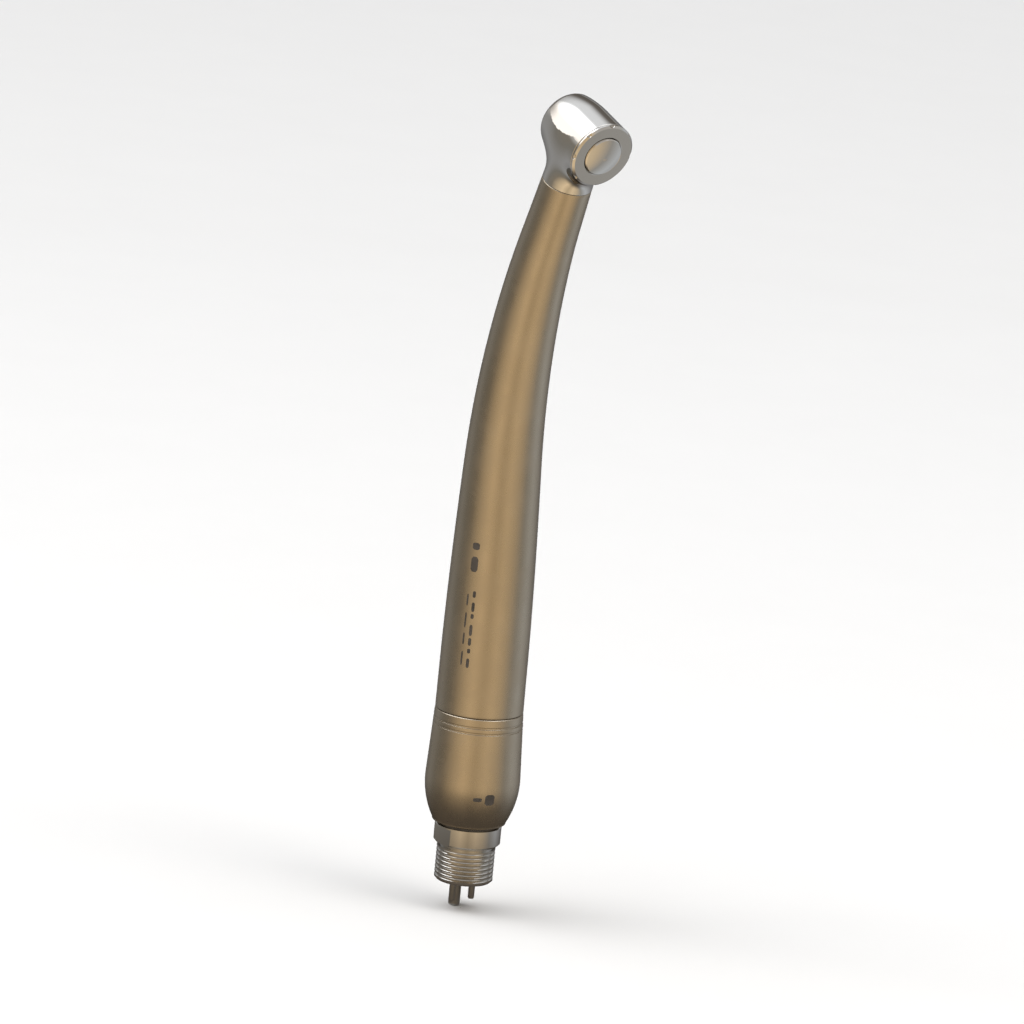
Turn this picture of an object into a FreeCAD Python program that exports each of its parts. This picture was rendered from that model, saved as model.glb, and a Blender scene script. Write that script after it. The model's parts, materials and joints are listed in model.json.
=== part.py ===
"""High speed dental handpiece: an air turbine in a contra-angle head, on a quick-release swivel coupler.

Row frame, in millimetres: the origin is the centre of the coupler's rear sealing face, where the unit's
hose connects. +Z runs forward along the handle. The neck bends by bend_angle towards -Y, so the push button
faces -Y and slightly down, and the bur hole faces +Y and slightly up. X = 0 is the plane of the bend.

Pieces of the head are drawn in the head frame: its origin is the centre of the head, +Z points out of the
push button and +Y runs on along the neck. Every sketch size is bound to a cell of the sheet "dims".
"""
import FreeCAD, Part
import math
import os
import re

import Sketcher

V = FreeCAD.Vector
OUT = "parts"
ON_AXIS = "centre on the axis"

# Driving dimensions: alias, value (mm or degrees), what it is.
DIMENSIONS = [
    # hose end of the coupler
    ("thread_r", 5.0, "crest radius of the hose thread"),
    ("thread_len", 6.0, "length of the hose thread"),
    ("thread_pitch", 0.75, "pitch of the hose thread"),
    ("thread_depth", 0.32, "depth of the hose thread"),
    ("relief_r", 4.6, "radius of the relief groove behind the thread"),
    ("collar_r", 5.7, "radius of the exposed collar"),
    ("collar_z", 6.6, "rear face of the collar"),
    ("collar_top", 10.2, "front face of the collar"),
    ("flat_half", 5.2, "half the distance across the collar's spanner flats"),
    ("passage_len", 9.0, "depth of the four holes in the sealing face"),
    ("exhaust_r", 1.4, "radius of the exhaust hole"),
    ("exhaust_at", 1.9, "distance of the exhaust hole from the axis"),
    ("drive_r", 1.0, "outer radius of the drive-air spigot"),
    ("drive_at", 2.0, "distance of the drive-air spigot from the axis"),
    ("small_r", 0.55, "outer radius of the water and chip-air spigots"),
    ("small_at", 2.0, "distance of the small spigots from the axis"),
    ("spigot_out", 5.0, "how far the drive-air spigot stands out"),
    ("small_out", 3.6, "how far the small spigots stand out"),
    ("spigot_in", 4.0, "how deep the spigots are pressed in"),
    # swivel journal and nose
    ("journal_r", 2.6, "radius of the swivel journal"),
    ("journal_top", 28.8, "front end of the journal"),
    ("journal_seal_r", 0.29, "section radius of the journal's seals"),
    ("journal_floor", 2.05, "floor radius of the journal's seal grooves"),
    ("nose_bore", 2.66, "bore of the swivel nose"),
    ("nose_r", 4.45, "outer radius of the swivel nose"),
    ("nose_z", 10.4, "rear end of the swivel nose"),
    ("nose_top", 29.6, "front end of the swivel nose"),
    ("nose_floor", 3.74, "floor radius of the nose's seal grooves"),
    ("nose_seal_r", 0.38, "section radius of the nose's seals"),
    ("first_seal_z", 14.2, "middle of the rearmost seal"),
    ("seal_step", 4.0, "distance from one seal to the next"),
    ("clip_z", 27.6, "shoulder that the circlip's washer bears on"),
    ("latch_z", 12.0, "middle of the latch ring"),
    ("latch_r", 4.75, "outer radius of the latch ring"),
    # rear ring, socket and handle shell
    ("ring_z", 10.5, "rear end of the handpiece"),
    ("ring_bore", 6.15, "bore of the rear ring"),
    ("ring_end_r", 6.35, "outer radius of the ring at its rear end"),
    ("ring_bulge_r", 8.1, "largest radius of the ring"),
    ("ring_bulge_z", 19.0, "height of the largest radius"),
    ("ring_round", 15.0, "radius of the ring's rounded rear end"),
    ("seam_z", 30.0, "seam between the ring and the shell"),
    ("seam_r", 7.52, "outer radius at the seam"),
    ("socket_z", 11.0, "rear end of the coupling socket"),
    ("socket_r", 6.1, "outer radius of the coupling socket"),
    ("socket_bore", 4.55, "bore of the coupling socket"),
    ("socket_floor", 34.0, "floor of the socket's bore"),
    ("socket_top", 37.5, "front end of the socket"),
    ("shell_wall", 0.9, "wall of the handle shell"),
    ("bend_start", 72.0, "where the bend starts"),
    ("bend_radius", 126.0, "radius of the bend of the centreline"),
    ("bend_angle", 20.0, "angle between handle and neck"),
    ("neck_len", 17.6, "straight neck, from the bend's end to the head's centre"),
    ("neck_joint", 9.0, "joint of head and shell, from the head's centre"),
    ("neck_r", 4.3, "radius of the neck at that joint"),
    ("neck_bore", 3.4, "bore of the head's neck socket"),
    # pipes inside the handle: position in the cross-section
    ("drive_x", 1.6, "drive-air pipe, sideways"),
    ("drive_v", 0.9, "drive-air pipe, towards the button"),
    ("pipe_r", 1.1, "outer radius of the drive-air pipe"),
    ("water_x", -0.4, "water pipe, sideways"),
    ("water_v", -2.3, "water pipe, towards the button"),
    ("chip_x", 1.4, "chip-air pipe, sideways"),
    ("chip_v", -1.9, "chip-air pipe, towards the button"),
    ("thin_r", 0.5, "outer radius of the two thin pipes"),
    ("vent_x", -1.9, "exhaust port, sideways"),
    ("vent_v", 0.6, "exhaust port, towards the button"),
    ("vent_r", 1.2, "radius of the exhaust port"),
    ("spacer_z", 51.0, "middle of the spacer that holds the pipes"),
    # head
    ("head_r", 5.75, "radius of the head"),
    ("face_z", -6.0, "bur face of the head"),
    ("face_r", 3.95, "radius of the flat bur face"),
    ("face_round", 1.9, "radius of the rounding between bur face and side"),
    ("waist_r", 5.35, "radius of the head where that rounding ends"),
    ("rim_z", 5.75, "rim of the head under the cap"),
    ("chamber_r", 4.65, "radius of the turbine chamber"),
    ("seat_r", 4.05, "radius of the seats around the bearings"),
    ("seat_floor", -4.3, "floor of the front seat"),
    ("seat_top", -1.75, "open end of the front seat"),
    ("nose_hole", 1.75, "hole for the spindle in the bur face"),
    ("cap_thread_r", 5.25, "radius of the cap's thread in the head"),
    ("cap_thread_z", 4.2, "lower end of that thread"),
    ("spray_in", 2.3, "inner radius of the spray ring"),
    ("spray_out", 3.55, "outer radius of the spray ring"),
    ("spray_z", -5.3, "inner face of the spray ring"),
    # cap and button
    ("cap_top", 6.55, "top of the cap"),
    ("cap_gap", 0.06, "gap between cap and head"),
    ("cap_skirt", 4.75, "inner radius of the cap's skirt"),
    ("cap_hole", 3.46, "hole for the button in the cap"),
    ("button_r", 3.4, "radius of the button"),
    ("button_edge", 6.85, "edge of the button's dome"),
    ("button_top", 7.35, "top of the button's dome"),
    ("button_lip", 4.3, "radius of the lip that keeps the button in"),
    ("button_z", 5.5, "underside of the button's lip"),
    # bearings: 3.175 x 6.35 x 2.4 mm
    ("race_in", 1.5875, "bore radius of a bearing"),
    ("race_out", 3.175, "outer radius of a bearing"),
    ("race_w", 2.4, "width of a bearing"),
    ("ball_r", 0.5, "radius of a ball"),
    ("ball_at", 2.38, "radius of the circle of balls"),
    ("track_r", 0.53, "radius of the ball tracks"),
    ("shoulder_in", 2.12, "shoulder radius of the inner race"),
    ("shoulder_out", 2.62, "shoulder radius of the outer race"),
    ("front_mid", -3.0, "middle of the front bearing"),
    ("rear_mid", 3.05, "middle of the rear bearing"),
    # rotor
    ("spindle_r", 1.58, "radius of the spindle"),
    ("spindle_end", -6.2, "bur end of the spindle"),
    ("spindle_top", 4.5, "button end of the spindle"),
    ("spindle_bore", 1.14, "bore of the spindle"),
    ("wheel_r", 4.3, "radius of the turbine wheel"),
    ("wheel_half", 1.4, "half the width of the turbine wheel"),
    ("collet_r", 1.12, "outer radius of the chuck"),
    ("bur_r", 0.8, "bore radius of the chuck, for a 1.6 mm shank"),
    ("collet_z", -6.0, "mouth of the chuck"),
    ("collet_top", 3.2, "button end of the chuck"),
]
BALLS = 8
BUCKETS = 10
SPRAY_PORTS = 3
CHUCK_SLITS = 3
CAP_NOTCHES = 8
SEALS = 4

# Outer radius of the handle shell at stations along the centreline, measured from the origin.
SHELL = [(30.1, 7.5), (45.0, 7.38), (58.0, 7.08), (70.0, 6.66), (82.0, 6.16), (94.0, 5.62), (105.0, 5.1),
         (115.0, 4.62)]

WORDS = re.compile(r"\b(" + "|".join(alias for alias, _, _ in DIMENSIONS) + r")\b")

doc = FreeCAD.newDocument("handpiece")
sheet = doc.addObject("Spreadsheet::Sheet", "dims")
for row, (alias, value, note) in enumerate(DIMENSIONS, 1):
    sheet.set(f"A{row}", note)
    sheet.set(f"B{row}", str(value))
    sheet.setAlias(f"B{row}", alias)
doc.recompute()


# ---------------------------------------------------------------- sheet and sketch helpers
def bound(formula):
    """A formula in the sheet's aliases, as an expression that FreeCAD can bind."""
    return WORDS.sub(r"dims.\1", str(formula))


def value(formula):
    """The number that a formula stands for now."""
    return float(sheet.evalExpression(bound(formula)))


def plane(body, role):
    """One of a body's own origin planes."""
    return next(f for f in body.Origin.OriginFeatures if f.Role == role)


def new_body(label, in_head=False):
    """A body; in_head places it in the head frame."""
    body = doc.addObject("PartDesign::Body", label)
    body.Label = label
    if in_head:
        y, z, tilt = centreline(HEAD_STATION)
        body.Placement = FreeCAD.Placement(V(0, 0, 0), FreeCAD.Rotation(V(1, 0, 0), 110))
        body.setExpression("Placement.Base.y", bound(y))
        body.setExpression("Placement.Base.z", bound(z))
        body.setExpression("Placement.Rotation.Angle", bound(f"90 + {tilt}"))
    return body


def new_sketch(body, role, lift="0"):
    """A sketch on an origin plane, lifted along the plane's normal."""
    sketch = body.newObject("Sketcher::SketchObject", "Sketch")
    sketch.AttachmentSupport = [(plane(body, role), "")]
    sketch.MapMode = "FlatFace"
    if lift != "0":
        sketch.setExpression("AttachmentOffset.Base.z", bound(lift))
    return sketch


def pin_down(sketch, kind, where, formula):
    """A dimension whose value is bound to a formula."""
    index = sketch.addConstraint(Sketcher.Constraint(kind, *where, value(formula)))
    sketch.setExpression(f"Constraints[{index}]", bound(formula))


def place_point(sketch, geometry, end, x, y):
    """Fixes one point of a sketch at two formulas; 0 puts it on the axis."""
    for kind, axis, formula in (("DistanceX", -2, x), ("DistanceY", -1, y)):
        if str(formula) == "0":
            sketch.addConstraint(Sketcher.Constraint("PointOnObject", geometry, end, axis))
        else:
            pin_down(sketch, kind, (-1, 1, geometry, end), formula)


def arc_through(start, end, turn):
    """The short arc from start to end, of a signed radius (positive: anticlockwise) or about the axis."""
    chord = end - start
    dome = turn == ON_AXIS
    radius = chord.Length ** 2 / (2 * abs(chord.y)) if dome else value(turn)
    half = chord.Length / 2
    side = V(-chord.y, chord.x, 0).normalize() * math.copysign(1, radius)
    centre = start + chord / 2 + side * math.sqrt(radius * radius - half * half)
    middle = centre + (start + chord / 2 - centre).normalize() * abs(radius)
    return Part.Arc(start, middle, end)


def draw_outline(sketch, points):
    """A closed outline. A point is (x, y), or (x, y, turn) where an arc leads on from it to the next."""
    spots = [V(value(p[0]), value(p[1]), 0) for p in points]
    ids, ends = [], []
    for here, point in enumerate(points):
        start, end = spots[here], spots[(here + 1) % len(spots)]
        if len(point) == 3:
            forward = point[2] == ON_AXIS or value(point[2]) > 0
            ids.append(sketch.addGeometry(arc_through(start, end, point[2]), False))
            ends.append((1, 2) if forward else (2, 1))
            if point[2] == ON_AXIS:
                sketch.addConstraint(Sketcher.Constraint("PointOnObject", ids[-1], 3, -2))
            else:
                pin_down(sketch, "Radius", (ids[-1],), f"abs({point[2]})")
        else:
            ids.append(sketch.addGeometry(Part.LineSegment(start, end), False))
            ends.append((1, 2))
    for here, point in enumerate(points):
        after = (here + 1) % len(points)
        joint = Sketcher.Constraint("Coincident", ids[here], ends[here][1], ids[after], ends[after][0])
        sketch.addConstraint(joint)
        place_point(sketch, ids[here], ends[here][0], point[0], point[1])


def draw_circle(sketch, x, y, radius):
    """A circle whose centre and radius are formulas."""
    circle = sketch.addGeometry(Part.Circle(V(value(x), value(y), 0), V(0, 0, 1), value(radius)), False)
    place_point(sketch, circle, 3, x, y)
    pin_down(sketch, "Radius", (circle,), radius)


# ---------------------------------------------------------------- features
def spin(body, points, cut=False):
    """Revolves an outline of (radius, height) points about the body's Z axis, adding or cutting it."""
    sketch = new_sketch(body, "XZ_Plane")
    draw_outline(sketch, points)
    feature = body.newObject("PartDesign::Groove" if cut else "PartDesign::Revolution", "Spin")
    feature.Profile = sketch
    feature.ReferenceAxis = (sketch, ["V_Axis"])
    feature.Angle = 360
    return feature


def ring_cut(body, radius, height, section):
    """Cuts a ring of round section, such as a ball track."""
    sketch = new_sketch(body, "XZ_Plane")
    draw_circle(sketch, radius, height, section)
    feature = body.newObject("PartDesign::Groove", "RingCut")
    feature.Profile = sketch
    feature.ReferenceAxis = (sketch, ["V_Axis"])
    feature.Angle = 360
    return feature


def drill(body, x, y, radius, top, bottom):
    """Cuts a round hole along Z from height top down to height bottom."""
    sketch = new_sketch(body, "XY_Plane", top)
    draw_circle(sketch, x, y, radius)
    feature = body.newObject("PartDesign::Pocket", "Hole")
    feature.Profile = sketch
    feature.setExpression("Length", bound(f"{top} - ({bottom})"))
    return feature


def cross_drill(body, height, radius, towards="+Y", start="0"):
    """Cuts a round hole at a height, from a distance beside the axis outwards."""
    outwards = towards in ("-Y", "+X")
    role = "XZ_Plane" if towards.endswith("Y") else "YZ_Plane"
    sketch = new_sketch(body, role, f"{'' if outwards else '-'}({start})")
    draw_circle(sketch, "0", height, radius)
    feature = body.newObject("PartDesign::Pocket", "CrossHole")
    feature.Profile = sketch
    feature.Reversed = outwards
    feature.Length = 10
    return feature


def around(body, feature, count):
    """Repeats a feature evenly about the body's Z axis."""
    pattern = body.newObject("PartDesign::PolarPattern", "Around")
    pattern.Originals = [feature]
    pattern.Axis = (plane(body, "Z_Axis"), [""])
    pattern.Angle = 360
    pattern.Occurrences = count
    body.Tip = pattern
    return pattern


def along(body, feature, formula, count):
    """Repeats a feature along the body's Z axis, each a step after the last."""
    pattern = body.newObject("PartDesign::LinearPattern", "Along")
    pattern.Originals = [feature]
    pattern.Direction = (plane(body, "Z_Axis"), [""])
    pattern.setExpression("Length", bound(f"({formula}) * {count - 1}"))
    pattern.Occurrences = count
    body.Tip = pattern
    return pattern


def loft(body, sections, cut=False):
    """Lofts through sketches, adding the solid or cutting it away."""
    feature = body.newObject("PartDesign::SubtractiveLoft" if cut else "PartDesign::AdditiveLoft", "Loft")
    feature.Profile = sections[0]
    feature.Sections = sections[1:]
    return feature


# ---------------------------------------------------------------- the bent centreline
BEND_LEN = "(bend_radius * bend_angle * pi / 180)"
HEAD_STATION = f"(bend_start + {BEND_LEN} + neck_len)"


def centreline(station, towards_button="0"):
    """Formulas for y, z and tilt at a station along the handle's centreline, or beside it."""
    tilt = f"min(max(({station} - bend_start) / bend_radius * 180 / pi; 0); bend_angle)"
    past = f"max({station} - bend_start - {BEND_LEN}; 0)"
    radius = f"(bend_radius - ({towards_button}))"
    y = f"-bend_radius + {radius} * cos({tilt}) - {past} * sin({tilt})"
    z = f"min({station}; bend_start) + {radius} * sin({tilt}) + {past} * cos({tilt})"
    return y, z, tilt


def station_sketch(body, station, radius):
    """A round section square to the centreline at a station."""
    y, z, tilt = centreline(station)
    sketch = new_sketch(body, "XY_Plane")
    draw_circle(sketch, "0", "0", radius)
    sketch.AttachmentOffset = FreeCAD.Placement(V(0, 0, 0), FreeCAD.Rotation(V(1, 0, 0), 1))
    sketch.setExpression("AttachmentOffset.Base.y", bound(y))
    sketch.setExpression("AttachmentOffset.Base.z", bound(z))
    sketch.setExpression("AttachmentOffset.Rotation.Angle", bound(tilt))
    return sketch


# ---------------------------------------------------------------- coupler
def seal_height(index):
    """Middle of one of the nose's seals."""
    return f"(first_seal_z + {index} * seal_step)"


def make_coupler_base():
    """Threaded hose end, collar and swivel journal in one turned piece, drilled for four media."""
    body = new_body("coupler_base")
    chamfer = 0.35
    spin(body, [
        ("0", "0"), (f"thread_r - {chamfer}", "0"), ("thread_r", chamfer), ("thread_r", "thread_len"),
        ("relief_r", "thread_len"), ("relief_r", "collar_z"), (f"collar_r - {chamfer}", "collar_z"),
        ("collar_r", f"collar_z + {chamfer}"), ("collar_r", f"collar_top - {chamfer}"),
        (f"collar_r - {chamfer}", "collar_top"), ("journal_r", "collar_top"),
        ("journal_r", "journal_top - 0.3"), ("journal_r - 0.3", "journal_top"), ("0", "journal_top"),
    ])
    turns = 7
    thread = spin(body, [
        ("thread_r - thread_depth", "0.95"), ("thread_r + 0.1", "0.62"), ("thread_r + 0.1", "1.28"),
    ], cut=True)
    along(body, thread, "thread_pitch", turns)
    for index in range(SEALS):
        middle = seal_height(index)
        half = "(journal_seal_r + 0.1)"
        spin(body, [
            ("journal_floor", f"{middle} - {half}"), ("journal_r + 0.5", f"{middle} - {half}"),
            ("journal_r + 0.5", f"{middle} + {half}"), ("journal_floor", f"{middle} + {half}"),
        ], cut=True)
    spin(body, [
        ("journal_r - 0.3", "clip_z + 0.28"), ("journal_r + 0.5", "clip_z + 0.28"),
        ("journal_r + 0.5", "clip_z + 0.7"), ("journal_r - 0.3", "clip_z + 0.7"),
    ], cut=True)
    cut_flats(body)
    drill(body, "0", "-exhaust_at", "exhaust_r", "passage_len", "-1")
    drill(body, "0", "drive_at", "drive_r + 0.005", "passage_len", "-1")
    for side in ("", "-"):
        drill(body, f"{side}small_at", "0", "small_r + 0.005", "passage_len", "-1")
    media = [("0", "1.1", 0.7, "journal_top + 1"), ("0", "-1.1", 0.7, seal_height(2) + " + 2.4"),
             ("1.4", "0", 0.35, seal_height(1) + " + 2.4"), ("-1.4", "0", 0.35, seal_height(0) + " + 2.4")]
    for x, y, radius, top in media:
        drill(body, x, y, radius, top, "passage_len - 0.6")
    ports = ((0, 0.3, "-X", "1.4"), (1, 0.3, "+X", "1.4"), (2, 0.55, "-Y", "1.1"))
    for index, radius, towards, start in ports:
        cross_drill(body, seal_height(index) + " + seal_step / 2", radius, towards, start)
    return body


def cut_flats(body):
    """Two spanner flats on the collar."""
    sketch = new_sketch(body, "XY_Plane", "collar_top - 0.6")
    draw_outline(sketch, [("flat_half", -8), (8, -8), (8, 8), ("flat_half", 8)])
    feature = body.newObject("PartDesign::Pocket", "Flat")
    feature.Profile = sketch
    feature.setExpression("Length", bound("collar_top - collar_z - 0.6 + 0.3"))
    around(body, feature, 2)


def make_spigot(label, x, y, radius, out):
    """A short pipe that carries one medium across the sealing face."""
    body = new_body(label)
    wall = 0.22
    spin(body, [
        (f"{radius} - {wall}", f"-{out}"), (f"{radius} - 0.1", f"-{out}"), (radius, f"0.2 - {out}"),
        (radius, "spigot_in"), (f"{radius} - {wall}", "spigot_in"),
    ])
    body.Placement = FreeCAD.Placement(V(value(x), value(y), 0), FreeCAD.Rotation())
    body.setExpression("Placement.Base.x", bound(x))
    body.setExpression("Placement.Base.y", bound(y))
    return body


def make_seal_set(label, centre_radius, section):
    """The seals of the journal or the nose: one torus in each groove."""
    rings = []
    for index in range(SEALS):
        ring = doc.addObject("Part::Torus", f"{label}_{index}")
        ring.setExpression("Radius1", bound(centre_radius))
        ring.setExpression("Radius2", bound(section))
        ring.setExpression("Placement.Base.z", bound(seal_height(index)))
        rings.append(ring)
    group = doc.addObject("Part::Compound", label)
    group.Links = rings
    group.Label = label
    return group


def make_swivel_washer():
    """Low-friction washer between the nose's shoulder and the circlip."""
    body = new_body("swivel_washer")
    spin(body, [("journal_r + 0.1", "clip_z + 0.02"), ("journal_r + 0.55", "clip_z + 0.02"),
                ("journal_r + 0.55", "clip_z + 0.24"), ("journal_r + 0.1", "clip_z + 0.24")])
    return body


def make_swivel_circlip():
    """Spring clip in the journal's groove that keeps the nose on; it is open at one side."""
    body = new_body("swivel_circlip")
    spin(body, [("journal_r - 0.26", "clip_z + 0.3"), ("journal_r + 0.45", "clip_z + 0.3"),
                ("journal_r + 0.45", "clip_z + 0.66"), ("journal_r - 0.26", "clip_z + 0.66")])
    cut_gap(body, 1.4, "clip_z - 1", "clip_z + 2")
    return body


def cut_gap(body, width, bottom, top):
    """Opens a ring on its +Y side."""
    sketch = new_sketch(body, "XY_Plane", top)
    draw_outline(sketch, [(f"-{width} / 2", "0.5"), (f"{width} / 2", "0.5"), (f"{width} / 2", 9),
                          (f"-{width} / 2", 9)])
    feature = body.newObject("PartDesign::Pocket", "Gap")
    feature.Profile = sketch
    feature.setExpression("Length", bound(f"{top} - ({bottom})"))
    return feature


def make_swivel_nose():
    """Nose that turns on the journal and plugs into the handpiece."""
    body = new_body("swivel_nose")
    spin(body, [
        ("nose_bore", "nose_z"), ("nose_r - 0.25", "nose_z"), ("nose_r", "nose_z + 0.25"),
        ("nose_r", "nose_top - 0.9"), ("nose_r - 0.9", "nose_top"), ("journal_r + 0.6", "nose_top"),
        ("journal_r + 0.6", "clip_z"), ("nose_bore", "clip_z"),
    ])
    for index in range(SEALS):
        middle = seal_height(index)
        half = "(nose_seal_r + 0.1)"
        spin(body, [
            ("nose_floor", f"{middle} - {half}"), ("nose_r + 0.5", f"{middle} - {half}"),
            ("nose_r + 0.5", f"{middle} + {half}"), ("nose_floor", f"{middle} + {half}"),
        ], cut=True)
        if index < SEALS - 1:
            port = cross_drill(body, f"{middle} + seal_step / 2", 0.55)
            around(body, port, 4)
    spin(body, [
        ("nose_r - 0.5", "latch_z - 0.45"), ("nose_r + 0.5", "latch_z - 0.45"),
        ("nose_r + 0.5", "latch_z + 0.45"), ("nose_r - 0.5", "latch_z + 0.45"),
    ], cut=True)
    return body


def make_latch_ring():
    """Sprung open ring that snaps into the socket's groove and holds the handpiece on."""
    body = new_body("latch_ring")
    spin(body, [
        ("nose_r - 0.42", "latch_z - 0.4"), ("nose_r", "latch_z - 0.4"), ("latch_r", "latch_z - 0.12"),
        ("latch_r", "latch_z + 0.12"), ("nose_r", "latch_z + 0.4"), ("nose_r - 0.42", "latch_z + 0.4"),
    ])
    cut_gap(body, 1.6, "latch_z - 2", "latch_z + 2")
    return body


# ---------------------------------------------------------------- handle
def make_coupling_socket():
    """Socket that takes the nose and passes the media on to the pipes."""
    body = new_body("coupling_socket")
    spin(body, [
        ("socket_bore + 0.5", "socket_z"), ("socket_r", "socket_z"), ("socket_r", "socket_top"),
        ("0", "socket_top"), ("0", "socket_floor"), ("socket_bore", "socket_floor"),
        ("socket_bore", "socket_z + 0.5"),
    ])
    spin(body, [
        ("socket_bore - 0.5", "latch_z - 0.45"), ("latch_r + 0.1", "latch_z - 0.45"),
        ("latch_r + 0.1", "latch_z + 0.45"), ("socket_bore - 0.5", "latch_z + 0.8"),
    ], cut=True)
    drill_pipes(body, "socket_top + 1", "socket_floor - 1")
    return body


def drill_pipes(body, top, bottom):
    """Holes for the three pipes and for the exhaust, square to the handle."""
    for x, v, radius in (("drive_x", "drive_v", "pipe_r + 0.01"), ("water_x", "water_v", "thin_r + 0.01"),
                         ("chip_x", "chip_v", "thin_r + 0.01"), ("vent_x", "vent_v", "vent_r")):
        drill(body, x, f"-({v})", radius, top, bottom)


def make_rear_ring():
    """Rear end of the grip: a ring with a rounded end, screwed over the socket."""
    body = new_body("rear_ring")
    spin(body, [
        ("ring_bore", "ring_z"), ("ring_end_r - 0.1", "ring_z"),
        ("ring_end_r", "ring_z + 0.15", "ring_round"),
        ("ring_bulge_r", "ring_bulge_z"), ("seam_r", "seam_z - 0.15"), ("seam_r - 0.15", "seam_z"),
        ("ring_bore", "seam_z"),
    ])
    for height in ("seam_z - 1.5", "seam_z - 2.5"):
        spin(body, [("seam_r - 0.1", f"{height} - 0.15"), ("9", f"{height} - 0.15"),
                    ("9", f"{height} + 0.15"), ("seam_r - 0.1", f"{height} + 0.15")], cut=True)
    return body


def make_handle_shell():
    """Grip and neck: one bent tube that tapers from the seam to the head."""
    body = new_body("handle_shell")
    stations = [(str(s), str(r)) for s, r in SHELL] + [(f"{HEAD_STATION} - neck_joint", "neck_r")]
    loft(body, [station_sketch(body, s, r) for s, r in stations])
    loft(body, [station_sketch(body, s, f"{r} - shell_wall") for s, r in stations], cut=True)
    return body


def make_pipe(label, x, v, radius, wall):
    """A pipe from the socket to the head, beside the centreline."""
    body = new_body(label)
    start = "socket_floor + 0.5"
    path = new_sketch(body, "YZ_Plane", x)
    bend = value("bend_angle")
    arc_radius = value(f"bend_radius - ({v})")
    centre = V(-value("bend_radius"), value("bend_start"), 0)
    corner = centre + V(arc_radius, 0, 0)
    sweep = math.radians(bend)
    turned = centre + V(arc_radius * math.cos(sweep), arc_radius * math.sin(sweep), 0)
    end_y, end_z = centreline(f"({HEAD_STATION} - 7.2)", v)[:2]
    first = path.addGeometry(Part.LineSegment(V(corner.x, value(start), 0), corner), False)
    arc = path.addGeometry(Part.ArcOfCircle(Part.Circle(centre, V(0, 0, 1), arc_radius), 0, sweep), False)
    last = path.addGeometry(Part.LineSegment(turned, V(value(end_y), value(end_z), 0)), False)
    place_point(path, first, 1, f"-({v})", start)
    place_point(path, first, 2, f"-({v})", "bend_start")
    place_point(path, arc, 3, "-bend_radius", "bend_start")
    path.addConstraint(Sketcher.Constraint("Coincident", first, 2, arc, 1))
    path.addConstraint(Sketcher.Constraint("Tangent", arc, 2, last, 1))
    place_point(path, last, 2, end_y, end_z)
    section = new_sketch(body, "XY_Plane", start)
    draw_circle(section, x, f"-({v})", radius)
    draw_circle(section, x, f"-({v})", f"{radius} - {wall}")
    pipe = body.newObject("PartDesign::AdditivePipe", "Pipe")
    pipe.Profile = section
    pipe.Spine = path
    return body


def make_pipe_spacer():
    """Disc that holds the three pipes apart inside the handle."""
    body = new_body("pipe_spacer")
    spin(body, [("0", "spacer_z - 0.8"), ("6.15", "spacer_z - 0.8"), ("6.15", "spacer_z + 0.8"),
                ("0", "spacer_z + 0.8")])
    drill_pipes(body, "spacer_z + 1", "spacer_z - 1")
    for side in ("", "-"):
        drill(body, f"{side}4.3", "0.8", 1.0, "spacer_z + 1", "spacer_z - 1")
    return body


# ---------------------------------------------------------------- head
def make_head_housing():
    """Head with its neck: turbine chamber, bearing seat, cap thread, air ports and water channel."""
    body = new_body("head_housing", in_head=True)
    spin(body, [
        ("0", "face_z"), ("face_r", "face_z", "face_round"), ("waist_r", "face_z + 1.8"), ("head_r", "-0.5"),
        ("head_r", "rim_z - 0.12"), ("head_r - 0.12", "rim_z"), ("0", "rim_z"),
    ])
    sections = []
    for distance, wide, high in (("neck_joint", "neck_r", "neck_r"), ("7.6", "4.4", "4.35"),
                                 ("5.8", "4.8", "4.65"), ("4", "5.2", "5.1"), ("2", "5.35", "5.3")):
        section = new_sketch(body, "XZ_Plane", distance)
        draw_oval(section, wide, high)
        sections.append(section)
    loft(body, sections)
    spin(body, [
        ("0", "face_z - 0.5"), ("nose_hole", "face_z - 0.5"), ("nose_hole", "seat_floor"),
        ("seat_r", "seat_floor"),
        ("seat_r", "seat_top"), ("chamber_r", "seat_top"), ("chamber_r", "cap_thread_z"),
        ("cap_thread_r", "cap_thread_z"), ("cap_thread_r", "rim_z + 1"), ("0", "rim_z + 1"),
    ], cut=True)
    spin(body, [
        ("spray_in - 0.02", "face_z - 0.5"), ("spray_out + 0.02", "face_z - 0.5"),
        ("spray_out + 0.02", "spray_z + 0.35"), ("spray_in - 0.02", "spray_z + 0.35"),
    ], cut=True)
    neck_hole(body, "0", "0", "neck_bore", "neck_joint + 1", "6.6")
    neck_hole(body, "drive_x", "drive_v", "pipe_r - 0.15", "7", "3.5")
    neck_hole(body, "vent_x", "vent_v", "vent_r", "7", "3.5")
    for x in ("water_x", "chip_x"):
        water_channel(body, x)
    return body


def draw_oval(sketch, wide, high):
    """An ellipse of two half-widths about the sketch's origin."""
    a, b = value(wide), value(high)
    if abs(a - b) < 1e-9:
        draw_circle(sketch, "0", "0", wide)
        return
    oval = sketch.addGeometry(Part.Ellipse(V(a, 0, 0), V(0, b, 0), V(0, 0, 0)), False)
    sketch.exposeInternalGeometry(oval)
    place_point(sketch, oval, 3, "0", "0")
    place_point(sketch, oval + 1, 1, wide, "0")
    pin_down(sketch, "DistanceY", (-1, 1, oval + 2, 1), high)


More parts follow.
